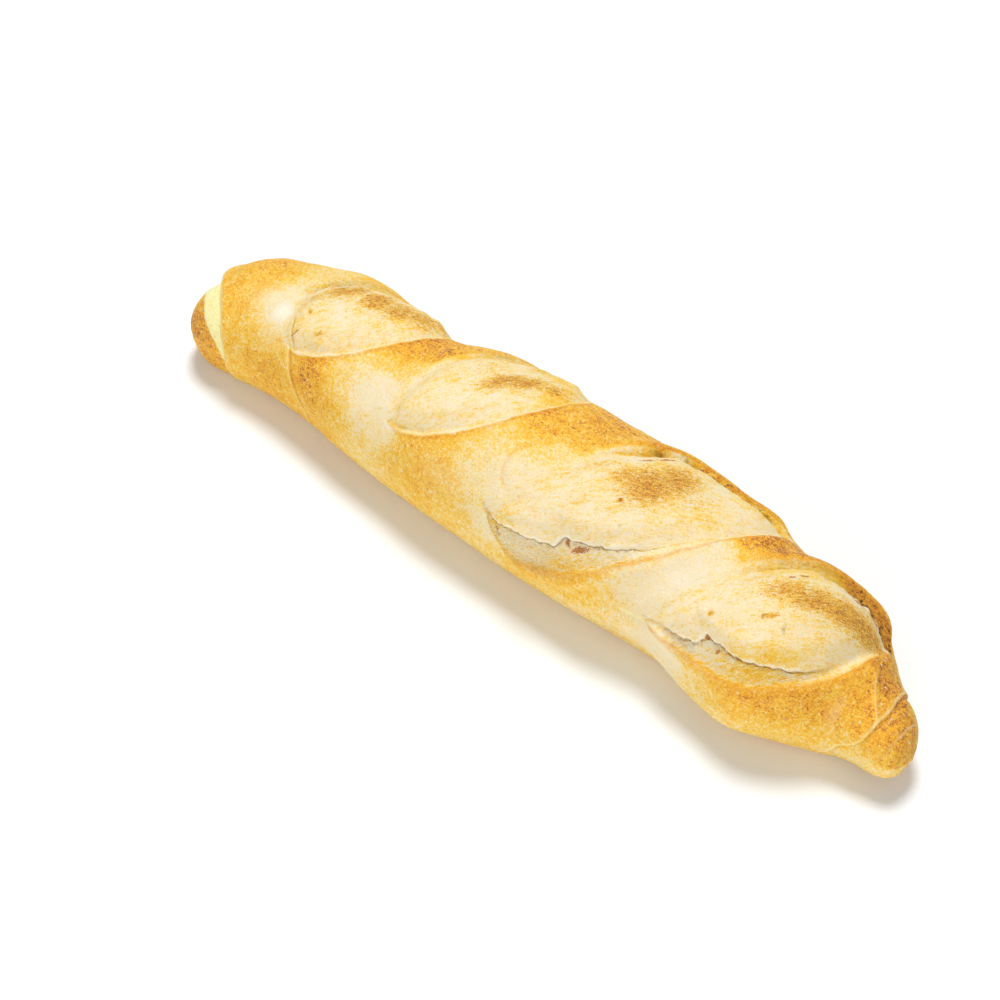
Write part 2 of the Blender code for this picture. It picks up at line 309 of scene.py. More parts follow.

# how far each part of the crust has browned, with painted light and shade mixed in: the lower near flank is
# set paler where strong light falls on it, the pointed end darker where it turns from the light; position,
# degrees, reach along, reach round, browning
bakeWithPaintedLightSpots = [
    # blunt end
    (-146, 0, 7, 36, 0.24), (-142, 70, 9, 30, 0.74), (-134, 105, 9, 22, 0.62), (-131, 8, 6, 22, 0.50),
    (-122, -20, 9, 34, 0.54), (-121, 20, 6, 20, 0.50), (-121, 60, 6, 16, 0.40), (-118, 92, 7, 16, 0.40),
    (-107, -25, 8, 18, 0.26), (-108, 20, 8, 17, 0.06), (-108, 60, 6, 10, 0.38), (-107, 86, 8, 20, 0.58),
    (-96, 60, 4, 9, 0.38), (-94, 94, 8, 18, 0.50), (-83, 70, 7, 16, 0.66), (-82, 104, 9, 14, 0.54),
    (-98, -50, 10, 16, 0.38), (-84, -46, 8, 16, 0.52),
    # between the first two slashes
    (-71, 34, 6, 12, 0.24), (-73, 56, 6, 10, 0.28), (-71, 88, 8, 18, 0.44), (-60, 0, 6, 13, 0.60),
    (-62, 17, 5, 9, 0.34), (-58, 40, 8, 13, 0.02), (-46, 46, 6, 14, 0.02), (-47, 16, 6, 10, 0.28),
    (-56, 66, 7, 9, 0.16), (-58, 94, 9, 16, 0.28), (-48, -24, 8, 20, 0.66), (-36, -44, 7, 16, 0.50),
    (-54, -52, 7, 14, 0.44), (-36, 62, 6, 12, 0.46), (-34, 86, 9, 14, 0.44), (-36, 110, 10, 12, 0.40),
    (-24, 68, 7, 14, 0.42),
    # between the second and third
    (-12, 22, 6, 14, 0.27), (-10, 52, 6, 12, 0.20), (-14, 84, 7, 14, 0.34), (-10, 108, 12, 12, 0.30),
    (0, -26, 7, 16, 0.52), (0, 2, 6, 10, 0.60), (1, 18, 6, 9, 0.34), (3, 46, 8, 16, 0.06),
    (4, 77, 8, 13, 0.03),
    (12, -38, 9, 18, 0.68), (14, -10, 7, 14, 0.56), (13, 18, 6, 10, 0.22), (9, 34, 5, 9, 0.08),
    (28, -34, 9, 16, 0.64), (26, -10, 6, 10, 0.42), (42, -48, 8, 12, 0.50), (60, -54, 10, 12, 0.56),
    (16, 94, 9, 12, 0.42), (34, 92, 9, 10, 0.42), (36, 112, 12, 12, 0.22), (50, 84, 6, 10, 0.30),
    (50, 106, 9, 14, 0.18),
    # between the third and fourth
    (60, 66, 8, 14, 0.05), (62, 98, 9, 16, 0.06), (72, 38, 8, 18, 0.0), (72, 14, 6, 10, 0.08),
    (72, 100, 8, 16, 0.04), (84, 18, 6, 10, 0.12), (84, 0, 5, 9, 0.46), (84, -22, 7, 14, 0.76),
    (94, -44, 8, 14, 0.74), (70, -30, 8, 14, 0.40), (86, 98, 7, 14, 0.30), (98, 92, 8, 12, 0.44),
    (97, 112, 12, 12, 0.24), (108, 78, 8, 10, 0.60), (108, 106, 10, 12, 0.32),
    # pointed end
    (120, 66, 7, 14, 0.60), (120, 92, 8, 14, 0.44), (121, 42, 6, 12, 0.50), (131, -30, 6, 22, 0.68),
    (131, 20, 6, 16, 0.54), (131, 52, 6, 16, 0.54), (131, 84, 7, 14, 0.40), (133, 110, 8, 12, 0.22),
    (143, -20, 5, 22, 0.70), (143, 30, 5, 18, 0.62), (143, 70, 5, 20, 0.54), (142, 108, 6, 16, 0.20),
    # far side and underside
    (-110, -90, 40, 22, 0.56), (-30, -92, 44, 20, 0.52), (60, -92, 44, 20, 0.58), (130, -80, 24, 24, 0.62),
    (-110, 140, 50, 22, 0.50), (0, 142, 70, 20, 0.40), (110, 142, 50, 22, 0.46),
    (0, 180, 170, 26, 0.56), (0, -180, 170, 26, 0.56), (0, -130, 170, 22, 0.50),
]

# flour left on the skin, and at 126 mm a thin pale line before the pointed ledge: position, degrees, reach
# along, reach round, strength
flourSpots = [(-106, 31, 5, 11, 1.0), (-114, 24, 6, 12, 0.55), (-104, 16, 5, 8, 0.5), (-106, 50, 5, 10, 0.4),
              (66, 40, 8, 12, 0.3), (-64, 52, 8, 12, 0.3), (126, 56, 1.6, 20, 0.3), (-20, 66, 10, 12, 0.25),
              (70, 84, 6, 10, 0.35), (20, 84, 8, 8, 0.25)]

# creases in the crust: points (position, degrees), depth, half width
folds = [
    ([(-97.2, 50), (-95.6, 57), (-92.9, 71), (-90.6, 81), (-88.3, 91), (-82.0, 112)], 0.5, 0.8),
    ([(-100.5, 28), (-98.5, 37), (-94.3, 56)], 0.5, 0.6),
]

# single marks of the crust: a rising arch, a crease at a slash's corner, a soft ridge and
# two fine lines round the pointed end
marks = {
    "archAt": (8.0, 34.0), "archRadius": 10.2, "archSwell": 0.5, "archSink": 0.3,
    "cornerAt": (61, 79), "cornerSink": 0.4,
    "ridgeAt": 130.3, "ridgeSlant": 0.29, "ridgeSwell": 0.7,
    "secondAt": 145.3, "secondBend": 0.0009, "secondSink": 0.4,
    "thirdAt": 141.6, "thirdSlant": 0.05, "thirdSink": 0.25,
}

# how far the skin steps in behind each ledge, in millimetres
caps = {"bluntDrop": 2.4, "bluntReturn": 1.0, "bluntNick": 0.9, "bluntBrow": 0.4,
        "pointDrop": 0.9, "pointNick": 0.35}

# where the ledges of the end caps run: degrees round, position;
# the pale band behind the blunt one: degrees round, width
ledges = {
    "blunt": [(-180, -134), (-120, -143), (-80, -146), (-11, -141), (12, -137.5), (37, -131), (57, -126.8),
              (79, -124.2), (102, -123.6), (125, -124.5), (180, -134)],
    "point": [(-180, 130), (-110, 135), (-42, 137.5), (10, 138.8), (47, 137.5), (75, 134.5), (94, 129.5),
              (130, 126), (180, 130)],
}


bandWidths = [(-60, 0), (-12, 5), (14, 7.5), (30, 9), (57, 9.5), (76, 6.0), (94, 3.8), (112, 2.4), (130, 0)]


def ledgeLine(name, degrees):
    turns, places = zip(*ledges[name])
    return curveThrough(turns, places, np.clip(degrees, -179.9, 179.9))


def spread(rows, position, degrees):
    # softly bounded spots on the skin
    total = np.zeros_like(position)
    for x, turn, reachAlong, reachRound, strength in rows:
        near = np.exp(-((position - x) / reachAlong) ** 2 - ((degrees - turn) / reachRound) ** 2)
        total = np.maximum(total, strength * near)
    return total


def spots(rows, place):
    # softly bounded spots in a slash's own coordinates
    total = np.zeros_like(place["share"])
    for share, across, reachAlong, reachAcross, strength in rows:
        along = (place["share"] - share) * place["length"] / reachAlong
        over = (place["across"] - across) / reachAcross
        total = np.maximum(total, strength * np.exp(-(along ** 2 + over ** 2)))
    return total


def leaningGrid():
    # rings evenly spaced along the outline, leaning with the slashes; spokes crowd where the tears are
    end = loaf["length"] / 2
    fine = -end * np.cos(np.linspace(0, math.pi, 6000))
    outline = np.stack([fine, halfWidth(fine)], -1)
    walked = np.concatenate([[0], np.cumsum(np.linalg.norm(np.diff(outline, axis=0), axis=1))])
    even = np.linspace(0, walked[-1], loaf["rings"] + 2)[1:-1]
    rings = np.interp(even, walked, fine)
    turn = -180 + 360 * np.arange(loaf["spokes"]) / loaf["spokes"]
    degrees = turn + loaf["fineTurn"] - loaf["fineness"] * np.sin(np.radians(turn))
    degrees = (degrees + 180) % 360 - 180
    lean = loaf["ringLean"] * smoothStep((end - np.abs(rings)) / 55)
    shift = -lean[:, None] * np.sin(np.radians(degrees - loaf["ringLeanTurn"]))[None, :]
    position = rings[:, None] + shift
    return position, np.broadcast_to(degrees, position.shape).copy()


def buildLoaf():
    position, degrees = leaningGrid()
    shape = position.shape
    position, degrees = position.ravel(), degrees.ravel()
    ends = np.array([-loaf["length"] / 2, loaf["length"] / 2])
    position = np.concatenate([position, ends])
    degrees = np.concatenate([degrees, [0.0, 0.0]])
    base = plainSkin(position, degrees)

    # directions along, round and out of the plain skin
    tiny = 0.05
    inner = np.clip(position, ends[0] + 2 * tiny, ends[1] - 2 * tiny)
    alongDir = plainSkin(inner + tiny, degrees) - plainSkin(inner - tiny, degrees)
    roundDir = plainSkin(inner, degrees + tiny) - plainSkin(inner, degrees - tiny)
    out = np.cross(alongDir, roundDir)
    out /= np.linalg.norm(out, axis=1)[:, None] + 1e-12
    drift = curveThrough([row[0] for row in stations], [row[2] for row in stations], position)
    centre = np.stack([position * 0.98, drift, np.full_like(position, 20.0)], -1)
    out *= np.sign(np.sum(out * (base - centre), axis=1))[:, None]
    out[-2], out[-1] = (-1, 0, 0), (1, 0, 0)
    alongUnit = alongDir / (np.linalg.norm(alongDir, axis=1)[:, None] + 1e-12)
    roundUnit = roundDir / (np.linalg.norm(roundDir, axis=1)[:, None] + 1e-12)

    wobble = grainNoise(base, 7.0, 2, 3.1)
    ragged = grainNoise(base, 2.6, 3, 11.7)
    lumps = grainNoise(base, 26.0, 1, 5.3)
    ripples = grainNoise(base, 8.0, 2, 8.9)
    fine = grainNoise(base, 1.7, 2, 17.3)
    print("noise done")

    height = np.zeros_like(position)
    shift = np.zeros_like(base)
    wall = np.zeros_like(position)
    masks = {name: np.zeros_like(position) for name in
             ("crumb", "strip", "farStrip", "torn", "farTorn", "lip", "hollow", "toast", "glow", "char")}
    gaps = {name: np.full_like(position, -4.0) for name in ("tearGap", "rimGap")}
    grain = np.stack([position, degrees * loaf["skinPerDegree"], np.zeros_like(position)], -1)
    for number, slash in enumerate(slashes):
        place = slashRelief(slash, position, degrees, wobble, ragged)
        height += place["height"]
        runX, runU = place["run"]
        acrossDir = -runU * alongUnit + runX * roundUnit
        shift += acrossDir * place["lean"][:, None]
        for name in ("crumb", "strip", "farStrip", "torn", "farTorn", "lip", "hollow"):
            masks[name] = np.maximum(masks[name], place[name])
        for name in gaps:
            gaps[name] = np.where(place["inner"] > -3, place[name], gaps[name])
        for name, rows in (("toast", toastSpots), ("glow", glowSpots), ("char", charSpots)):
            spot = spots(rows[number], place) * (1 if name == "char" else smoothStep(2 * place["crumb"]))
            masks[name] = np.maximum(masks[name], spot)
        wall = np.where(place["farStrip"] > 0.02, through(slash["wall"], place["share"]), wall)
        within = place["inner"] > -1
        grain[within, 0] = (place["share"] * place["length"])[within]
        grain[within, 1] = place["across"][within]
        grain[within, 2] = 40.0 * (number + 1)
    for x, angle, swell, runAlong, runRound in swellings:
        height += swell * np.exp(-((position - x) / runAlong) ** 2 - ((degrees - angle) / runRound) ** 2)

    # folds of the crust that run on from the corners of the slashes
    fold = np.zeros_like(position)
    seam = np.zeros_like(position)
    for path, deep, reach in folds:
        turns = [row[1] for row in path]
        line = np.interp(degrees, turns, [row[0] for row in path])
        fade = smoothStep((degrees - turns[0]) / 7) * smoothStep((turns[-1] - degrees) / 9)
        gap = position - line + 0.35 * wobble
        # the fold mask is painted shade along each crease, the seam mask painted highlight on the raised side
        # beside it
        fold = np.maximum(fold, np.exp(-(gap / reach) ** 2) * fade)
        height -= deep * np.exp(-(gap / reach) ** 2) * fade
        height += 0.3 * deep * np.exp(-((gap + 2.2 * reach) / (1.6 * reach)) ** 2) * fade
        seam = np.maximum(seam, 0.8 * np.exp(-((gap + 1.5 * reach) / (0.9 * reach)) ** 2) * fade)
    cornerX, cornerTurn = marks["cornerAt"]
    corner = np.exp(-((degrees - cornerTurn - 0.25 * (cornerX - position)) / 2.2) ** 2)
    corner *= smoothStep((position - 46) / 8) * smoothStep((64 - position) / 3)
    height -= marks["cornerSink"] * corner
    archX, archTurn = marks["archAt"]
    arch = np.hypot(position - archX, (degrees - archTurn) * loaf["skinPerDegree"])
    side = smoothStep((6.0 - position) / 6.0)
    height += marks["archSwell"] * smoothStep((9.6 - arch) / 3.4) * side * smoothStep((arch - 2) / 7)
    archLine = np.exp(-((arch - marks["archRadius"] + 0.6 * wobble) / 1.1) ** 2) * side
    height -= marks["archSink"] * archLine
    fold = np.maximum(fold, 0.55 * archLine)
    # a pale line on the crease at the corner of the last slash
    seam = np.maximum(seam, corner)

    # the two end caps behind their ledges
    radius = halfWidth(position)
    bluntPast = ledgeLine("blunt", degrees) - position + 0.4 * wobble
    pointPast = position - ledgeLine("point", degrees) + 0.3 * wobble
    bandWidth = through(bandWidths, degrees)
    band = smoothStep(bluntPast / 0.5 + 0.3) * smoothStep((bandWidth - bluntPast + 0.8 * ragged) / 1.2 + 0.5)
    bluntDrop = caps["bluntDrop"] * smoothStep(bluntPast / 1.3)
    bluntDrop -= caps["bluntReturn"] * smoothStep((bluntPast - 1.2) / 8)
    bluntDrop += caps["bluntNick"] * np.exp(-((bluntPast - 1.0) / 0.8) ** 2)
    bluntDrop -= caps["bluntBrow"] * np.exp(-((bluntPast + 1.2) / 1.8) ** 2)
    pointDrop = caps["pointDrop"] * smoothStep(pointPast / 0.7)
    pointDrop += caps["pointNick"] * np.exp(-((pointPast - 0.8) / 0.7) ** 2)
    second = position - marks["secondAt"] + marks["secondBend"] * np.maximum(degrees - 25, 0) ** 2
    secondLine = np.exp(-(second / 0.55) ** 2)
    secondLine *= smoothStep((degrees + 30) / 30) * smoothStep((110 - degrees) / 30)
    third = position - marks["thirdAt"] + marks["thirdSlant"] * (degrees - 10)
    thirdLine = np.exp(-(third / 0.5) ** 2)
    thirdLine *= smoothStep((degrees + 40) / 20) * smoothStep((40 - degrees) / 20)
    pointDrop += marks["secondSink"] * secondLine + marks["thirdSink"] * thirdLine
    tipFade = np.minimum(1, radius / 12.0)
    height -= (bluntDrop + pointDrop) * tipFade
    ridge = position - marks["ridgeAt"] - marks["ridgeSlant"] * degrees + 0.3 * wobble
    ridgeFade = smoothStep((degrees + 14) / 10) * smoothStep((40 - degrees) / 12) * (pointPast < 0.5)
    height += marks["ridgeSwell"] * np.exp(-(ridge / 2.6) ** 2) * ridgeFade
    # pale line on the ridge crest: painted highlight
    seam = np.maximum(seam, 0.8 * np.exp(-(ridge / 0.8) ** 2) * ridgeFade)
    # pale line beside the third fine line: painted highlight
    thirdSeam = np.exp(-((third + 0.8) / 0.5) ** 2) * smoothStep((40 - degrees) / 20) * (pointPast > 0)
    seam = np.maximum(seam, 0.6 * thirdSeam)
    fold = np.maximum(fold, 0.7 * np.maximum(secondLine, thirdLine))
    seen = smoothStep((degrees + 75) / 30) * smoothStep((135 - degrees) / 30)
    gaps["ledgeGap"] = np.where(position > 0, pointPast, bluntPast) + 5 * (1 - seen)
    gaps["secondGap"] = np.where(pointPast > 1.0, second + 0.5 * wobble, 4.0)

    # gas holes, lumps and fuzz
    openShare = smoothStep(2 * masks["crumb"] - 0.5)
    pitted = np.clip(masks["char"] + 0.5 * fine * (masks["char"] > 0.05), 0, 1)
    height -= pitted * np.where(masks["farStrip"] > 0.3, 1.6, 0.3)
    height += 0.45 * lumps + (0.22 + 0.12 * openShare) * ripples + 0.10 * openShare * ragged
    fuzz = openShare * (0.06 + 0.16 * masks["toast"] + 0.12 * masks["strip"] + 0.3 * masks["farStrip"]
                     + 0.3 * masks["torn"] + 0.3 * masks["farTorn"])
    height += fuzz * fine + 0.02 * fine

    cosine = np.cos(np.radians(degrees))
    standing = np.minimum(1, radius / 14.0) * smoothStep((cosine + 0.78) / 0.45)
    points = base + out * (height * standing)[:, None] + shift * standing[:, None]
    points[:, 2] = np.maximum(points[:, 2], 0)

    # centred over the CAD loaf's own box
    low, high = points.min(axis=0), points.max(axis=0)
    cadLow, cadHigh = (np.array(c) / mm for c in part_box("baguette"))
    points[:, :2] += (cadLow + cadHigh)[:2] / 2 - (low + high)[:2] / 2
    points[:, 2] += cadLow[2] - low[2]
    print("loaf box, mm:", np.round(points.min(axis=0), 1), np.round(points.max(axis=0), 1))

    rings, spokes = shape
    index = np.arange(rings * spokes).reshape(shape)
    after = np.roll(index, -1, axis=1)
    quads = np.stack([index[:-1], after[:-1], after[1:], index[1:]], -1).reshape(-1, 4)
    first, last = rings * spokes, rings * spokes + 1
    fans = [(first, int(b), int(a)) for a, b in zip(index[0], after[0])]
    fans += [(last, int(a), int(b)) for a, b in zip(index[-1], after[-1])]
    mesh = bpy.data.meshes.new("loaf")
    mesh.from_pydata((points * mm).tolist(), [], quads.tolist() + fans)
    mesh.update()
    if sum(p.normal.z * p.area for p in mesh.polygons if p.center.z > 0.03) < 0:
        mesh.flip_normals()
    mesh.shade_smooth()

    # browning map of the crust, holding the painted light and shade of the spots above
    bake = np.zeros_like(position)
    weight = np.full_like(position, 0.02)
    bake += 0.5 * weight
    for x, angle, reachAlong, reachRound, browned in bakeWithPaintedLightSpots:
        near = np.exp(-((position - x) / reachAlong) ** 2 - ((degrees - angle) / reachRound) ** 2)
        bake += near * browned
        weight += near
    masks["bake"] = bake / weight
    masks["band"] = band
    masks["fold"] = np.clip(fold, 0, 1)
    masks["seam"] = np.clip(seam, 0, 1)
    masks["flour"] = spread(flourSpots, position, degrees)
    masks["wall"] = wall
    for name, gap in gaps.items():
        masks[name] = np.clip(0.5 + gap / gapReach, 0, 1)
    for name, values in masks.items():
        layer = mesh.attributes.new(name, "FLOAT", "POINT")
        layer.data.foreach_set("value", np.ascontiguousarray(values, dtype=np.float32))
    layer = mesh.attributes.new("grain", "FLOAT_VECTOR", "POINT")
    layer.data.foreach_set("vector", np.ascontiguousarray(grain * mm, dtype=np.float32).ravel())
    piece = bpy.data.objects.new("loaf", mesh)
    scene.collection.objects.link(piece)
    print("loaf:", len(mesh.vertices), "points,", 2 * len(quads) + len(fans), "triangles")
    return piece


class Wire:
    # an output socket of a node; sums and products of wires add Math nodes
    def __init__(self, tree, socket=None):
        self.tree, self.socket = tree, socket

    def make(self, kind, settings=None, inputs=None, out=0):
        node = self.tree.nodes.new(kind)
        for name, value in (settings or {}).items():
            if name == "stops":
                elements = node.color_ramp.elements
                while len(elements) < len(value):
                    elements.new(0.5)
                for element, (place, colour) in zip(elements, value):
                    element.position, element.color = place, (*colour, 1.0)
            else:
                setattr(node, name, value)
        for name, value in (inputs or {}).items():
            if isinstance(value, Wire):
                self.tree.links.new(value.socket, node.inputs[name])
            else:
                node.inputs[name].default_value = value
        return Wire(self.tree, node.outputs[out])

    def maths(self, operation, first, second):
        return self.make("ShaderNodeMath", {"operation": operation}, {0: first, 1: second})

    def __add__(self, other): return self.maths("ADD", self, other)
    def __radd__(self, other): return self.maths("ADD", other, self)
    def __sub__(self, other): return self.maths("SUBTRACT", self, other)
    def __rsub__(self, other): return self.maths("SUBTRACT", other, self)
    def __mul__(self, other): return self.maths("MULTIPLY", self, other)
    def __rmul__(self, other): return self.maths("MULTIPLY", other, self)

    def between(self, low, high):
        # 0 at low, 1 at high, eased
        return self.make("ShaderNodeMapRange", {"interpolation_type": "SMOOTHSTEP"},
                         {"Value": self, "From Min": low, "From Max": high})

    def mixed(self, factor, other):
        # this colour turning into the other by the factor
        return self.make("ShaderNodeMix", {"data_type": "RGBA"}, {0: factor, 6: self, 7: other}, 2)


def linear(red, green, blue):
    # a colour as seen on a screen, 0 to 255, in the light values that shaders use
    shades = [c / 255 for c in (red, green, blue)]
    return tuple(c / 12.92 if c < 0.0404 else ((c + 0.055) / 1.055) ** 2.4 for c in shades)


# colours of the bread; the crease, shade, gap and pit colours are painted shade in creases, under torn edges
# and ledges, in the far crevice and in holes; the seam colour is mostly painted highlight
breadLook = {
    "browning": [(0.0, (243, 229, 201)), (0.20, (245, 222, 166)), (0.38, (246, 205, 94)),
                 (0.56, (243, 187, 52)), (0.73, (235, 164, 58)), (0.87, (212, 140, 66)),
                 (1.0, (160, 98, 50))],
    "flour": (250, 243, 224), "toast": (208, 154, 92), "seam": (254, 240, 176), "band": (255, 246, 184),
    "dot": (255, 243, 200), "char": (98, 62, 30), "singe": (190, 114, 46), "creaseShade": (220, 148, 54),
    "shade": (150, 100, 46), "gap": (98, 72, 34), "fray": (252, 245, 226), "holeShade": (84, 56, 28),
    "roughness": 0.62, "shine": 0.12,
    "softness": 0.3, "softReach": (1.0, 0.55, 0.25), "softScale": 0.004,
    "bumpStrength": 1.0, "bumpDepth": 0.0007,
}


def breadMaterial(name):
    material = bpy.data.materials.new(name)
    material.use_nodes = True
    tree = material.node_tree
    shader = tree.nodes["Principled BSDF"]
    sheet = Wire(tree)
    look = breadLook

    def layer(attribute, out="Fac"):
        return sheet.make("ShaderNodeAttribute", {"attribute_name": attribute}, None, out)

    def colour(key):
        return (*linear(*look[key]), 1.0)

    here = sheet.make("ShaderNodeTexCoord", None, None, "Object")
    grain = layer("grain", "Vector")

    def cloud(size, detail=3.0, rough=0.6, vector=here, warp=0.0):
        # noise spread out from its usual narrow range, 0 in the middle
        raw = sheet.make("ShaderNodeTexNoise", None, {"Vector": vector, "Scale": 1 / (size * mm),
                         "Detail": detail, "Roughness": rough, "Distortion": warp}, "Fac")
        return (raw - 0.5) * 2.0

    def stretched(along, across):
        # the crumb's own directions, scaled so that noise draws out into fibres
        return sheet.make("ShaderNodeVectorMath", {"operation": "MULTIPLY"},
                          {0: grain, 1: (1 / along, 1 / across, 1.0)}, "Vector")

    def dots(size, low, high, share):
        # round dots of that spacing, only in some of the cells
        cells = {"Vector": here, "Scale": 1 / (size * mm)}
        gap = sheet.make("ShaderNodeTexVoronoi", None, cells, "Distance")
        pick = sheet.make("ShaderNodeTexVoronoi", None, cells, "Color")
        pick = sheet.make("ShaderNodeSeparateColor", None, {"Color": pick}, "Red")
        return (1 - gap.between(low, high)) * pick.between(1 - share, 1.0)

    def near(gap, low, high):
        # 1 on a line, 0 away from it
        return 1 - gap.maths("ABSOLUTE", gap, 0.0).between(low, high)

    bake, crumb, toast, lip = layer("bake"), layer("crumb"), layer("toast"), layer("lip")
    strip, farStrip, glow, char = layer("strip"), layer("farStrip"), layer("glow"), layer("char")
    band, fold, seam, flour = layer("band"), layer("fold"), layer("seam"), layer("flour")
    wall, torn, farTorn = layer("wall"), layer("torn"), layer("farTorn")

    broad = cloud(16, 2)
    mottle = cloud(3.2, 3, 0.6)
    speckle = cloud(1.1, 3, 0.7)
    fine = cloud(0.5, 2, 0.6)
    fibre = cloud(1.5, 4, 0.65, stretched(4.0, 1.0), 0.5)
    hair = cloud(0.6, 3, 0.65, stretched(3.0, 0.8), 0.3)
    patch = cloud(6, 3, 0.6)

    # distances in millimetres from the edges, tears and ledges, frayed by the grain
    edgeGap = (crumb - 0.5) * edgeReach
    tearGap = (layer("tearGap") - 0.5) * gapReach + 0.5 * hair + 0.4 * fine
    rimGap = (layer("rimGap") - 0.5) * gapReach + 0.5 * hair + 0.5 * fine
    ledgeGap = (layer("ledgeGap") - 0.5) * gapReach + 0.3 * speckle + 0.15 * fine
    secondGap = (layer("secondGap") - 0.5) * gapReach + 0.3 * speckle
    opened = (crumb + 0.10 * hair + 0.08 * speckle + 0.05 * fibre).between(0.40, 0.60)

    crustNoise = 0.12 * broad + 0.30 * mottle + 0.58 * speckle + 0.56 * fine
    # crust colour: the fold term browns the creases as painted shade; the lip term browns the lips, partly
    # their own browning and partly painted shade
    crustBrown = 0.04 + bake + (0.5 + bake) * crustNoise + 0.08 * lip + 0.10 * fold
    toasted = (toast + 0.30 * hair + 0.24 * fine + 0.20 * speckle + 0.12 * fibre).between(0.20, 0.75)
    toasting = 0.30 * toast + toasted * (0.20 + 0.55 * hair + 0.55 * fine + 0.06 * toast)
    # crumb colour; the hollow term browns the crumb in recesses as painted shade
    crumbBrown = (0.05 + 0.20 * patch + 0.30 * fibre + 0.32 * hair + 0.28 * speckle + 0.34 * fine
                  + 0.26 * glow + 0.16 * layer("hollow") + 0.12 * near(edgeGap - 0.7, 0.4, 1.5))
    stripBrown = (0.06 + 0.75 * hair + 0.50 * fine + 0.26 * fibre + 0.16 * patch + 0.28 * glow
                  + 0.20 * near(edgeGap, 0.6, 1.6) + 0.08 * (1 - tearGap.between(-3.6, -1.6)))
    # far torn face: its toasting together with painted shade
    wallBrown = wall + 0.40 * hair + 0.45 * fine + 0.3 * speckle
    browned = crustBrown + opened * (crumbBrown + toasting - crustBrown)
    browned = browned + strip * (stripBrown - browned)
    browned = browned + farStrip * (wallBrown - browned)
    stops = [(place, linear(*shade)) for place, shade in look["browning"]]
    surface = sheet.make("ShaderNodeValToRGB", {"stops": stops}, {"Fac": browned}, "Color")

    surface = surface.mixed(opened * toasted * (0.28 + 0.7 * hair), colour("toast"))

    # golden line along the lips: partly the lips' own browning, partly painted shade in the crease where
    # crust meets crumb
    lipLineAndShade = lip.between(0.15, 0.6) * near(edgeGap + 0.5 + 0.3 * hair, 0.2, 1.1)
    surface = surface.mixed(lipLineAndShade * (0.40 + 0.5 * speckle), colour("creaseShade"))

    # pale blisters and flour on the crust
    blister = dots(2.3, 0.06, 0.26, 0.35)
    pimple = dots(1.2, 0.10, 0.36, 0.50)
    paleDots = (0.8 * blister + 0.65 * pimple) * (1 - opened)
    surface = surface.mixed(paleDots, colour("dot"))
    flecks = (flour + 0.7 * speckle + 0.5 * fine).between(0.25, 0.75)
    surface = surface.mixed(flour * (0.45 + 0.5 * flecks), colour("flour"))

    # torn edges: pale threads on the crumb, and below them a dark broken line of painted shadow under the
    # crumb's overhang
    threads = torn * (tearGap.between(0.0, 0.4) - tearGap.between(0.9, 1.8))
    surface = surface.mixed(threads * (0.75 + 0.5 * speckle), colour("fray"))
    tearShadow = torn * near(tearGap + 0.35, 0.10, 0.55)
    surface = surface.mixed(tearShadow * (0.30 + 1.3 * speckle), colour("shade"))
    # painted shade in the crevice under the far rim
    farCreviceShade = farTorn * near(rimGap + 1.4, 0.6, 1.5) * wall.between(0.55, 0.8)
    surface = surface.mixed(farCreviceShade * (0.8 + 0.7 * speckle + 0.5 * mottle), colour("gap"))
    farThreads = farTorn * (rimGap.between(0.0, 0.4) - rimGap.between(1.0, 2.0))
    surface = surface.mixed(farThreads * (0.75 + 0.5 * speckle), colour("fray"))
    # small holes in the far torn face, painted dark as shade
    holeShadeDots = dots(1.7, 0.16, 0.46, 0.75) * farStrip * wall.between(0.5, 0.8)
    surface = surface.mixed(holeShadeDots, colour("holeShade"))

    # end caps, ledges, creases and scorched bits; the pale ledge and seam lines carry painted highlight, the
    # dark line at the foot of each ledge and the creases painted shade
    streaks = (band + 0.9 * speckle + 0.9 * mottle + 0.6 * fine).between(0.05, 1.1)
    surface = surface.mixed(streaks * band, colour("band"))
    # pale line on the lit edge of each ledge and of the fine line behind the point: painted highlight
    ledgeHighlight = near(ledgeGap + 0.5, 0.15, 0.75) + 0.8 * near(secondGap, 0.10, 0.45)
    surface = surface.mixed(ledgeHighlight * (0.42 + 0.9 * mottle + 0.7 * speckle), colour("seam"))
    surface = surface.mixed(near(ledgeGap - 0.25, 0.05, 0.35) * 0.25, colour("shade"))
    # painted shade in the creases
    surface = surface.mixed(fold.between(0.25, 1.0) * 0.55, colour("creaseShade"))
    # pale seam lines: mostly painted highlight on the raised lit side of folds and ridges, with a pale line
    # at the corner of the last slash
    surface = surface.mixed((seam + 0.5 * speckle + 0.5 * fine).between(0.35, 1.1) * seam, colour("seam"))
    scorch = (char + 0.7 * fine + 0.6 * hair + 0.3 * speckle) * char.between(0.05, 0.3)
    surface = surface.mixed(scorch.between(0.15, 0.55) * 0.85, colour("singe"))
    surface = surface.mixed(scorch.between(0.50, 0.95) * wall.between(0.0, 0.5), colour("char"))
    tree.links.new(surface.socket, shader.inputs["Base Color"])

    rough = look["roughness"] + 0.18 * opened + 0.08 * mottle - 0.10 * (1 - opened) * bake
    tree.links.new(rough.socket, shader.inputs["Roughness"])
    shader.inputs["Specular IOR Level"].default_value = look["shine"]
    shader.inputs["Subsurface Weight"].default_value = look["softness"]
    shader.inputs["Subsurface Radius"].default_value = look["softReach"]
    shader.inputs["Subsurface Scale"].default_value = look["softScale"]

